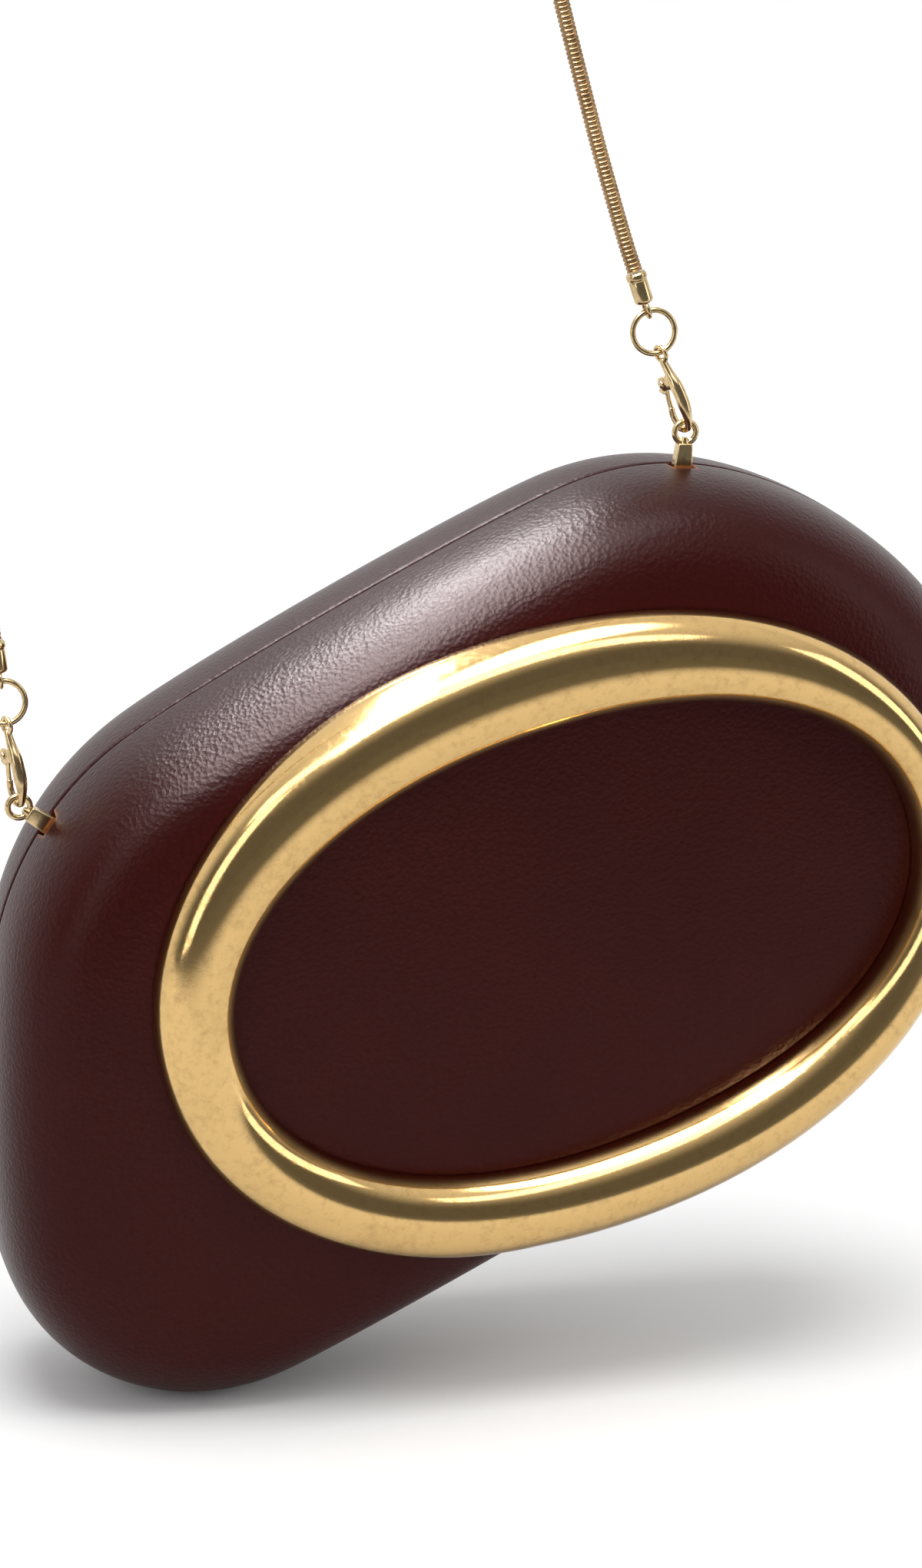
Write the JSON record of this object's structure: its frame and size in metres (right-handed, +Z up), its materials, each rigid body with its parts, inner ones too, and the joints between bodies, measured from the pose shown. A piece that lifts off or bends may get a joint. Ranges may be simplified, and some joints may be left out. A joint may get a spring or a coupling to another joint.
{
  "type": "clutch bag",
  "caption": "Hard-shell clutch bag: two leather-covered shells hinged at the bottom, an oval metal ring on the front, and a chain strap clipped to two eye posts.",
  "frame": {"origin": "middle of the strap chain at its highest point, where the bag is held", "axes": "+Z up, +X to the right seen from the front, +Y from the front of the bag to its back; the strap lies in the plane Y = 0"},
  "size_m": [0.2014, 0.0764, 0.3297],
  "materials": {
    "leather": "smooth dark burgundy calf leather",
    "lining": "suede-like lining",
    "core": "moulded stiffener",
    "gold": "antique gold, polished",
    "steel": "plain steel"
  },
  "bodies": {
    "strap": {"left_claw": "gold", "left_rivet": "gold", "left_jump_ring": "gold", "left_end_cap": "gold", "right_claw": "gold", "right_rivet": "gold", "right_jump_ring": "gold", "right_end_cap": "gold", "strap_chain": "gold"},
    "bag_front": {"front_leather": "leather", "front_core": "core", "front_lining": "lining", "front_frame": "gold", "front_magnet_1": "steel", "front_magnet_2": "steel", "hinge_leaf_front": "gold", "hinge_screw_front_1": "gold", "hinge_screw_front_2": "gold", "hinge_screw_front_3": "gold", "closing_lip": "gold", "oval_ring": "gold", "hinge_pin": "steel", "ring_stud_1": "steel", "ring_nut_1": "steel", "ring_stud_2": "steel", "ring_nut_2": "steel", "ring_stud_3": "steel", "ring_nut_3": "steel", "ring_stud_4": "steel", "ring_nut_4": "steel", "post_nut_1": "gold", "post_nut_2": "gold", "left_post": "gold", "right_post": "gold"},
    "bag_back": {"back_leather": "leather", "back_core": "core", "back_lining": "lining", "back_frame": "gold", "back_magnet_1": "steel", "back_magnet_2": "steel", "hinge_leaf_back": "gold", "hinge_screw_back_1": "gold", "hinge_screw_back_2": "gold", "hinge_screw_back_3": "gold"},
    "left_trigger_lever": {"left_trigger": "gold"},
    "right_trigger_lever": {"right_trigger": "gold"}
  },
  "joints": [
    {"name": "strap_swing", "type": "hinge", "parent": "strap", "child": "bag_front", "pos_m": [0.0166, 0, -0.1736], "axis": [0.8894, 0, 0.4571], "range_deg": [-26, 26]},
    {"name": "shell_hinge", "type": "hinge", "parent": "bag_front", "child": "bag_back", "pos_m": [0.07614, 0.01409, -0.28945], "axis": [-0.8894, 0, -0.4571], "range_deg": [0, 80]},
    {"name": "left_trigger_turn", "type": "hinge", "parent": "strap", "child": "left_trigger_lever", "pos_m": [-0.04847, 0.00101, -0.19852], "axis": [-0.9077, -0.4067, -0.1034], "range_deg": [0, 22], "stiffness_Nm_per_rad": 0.002},
    {"name": "right_trigger_turn", "type": "hinge", "parent": "strap", "child": "right_trigger_lever", "pos_m": [0.07828, 0.001, -0.13287], "axis": [-0.8663, -0.4067, -0.2899], "range_deg": [0, 22], "stiffness_Nm_per_rad": 0.002}
  ]
}
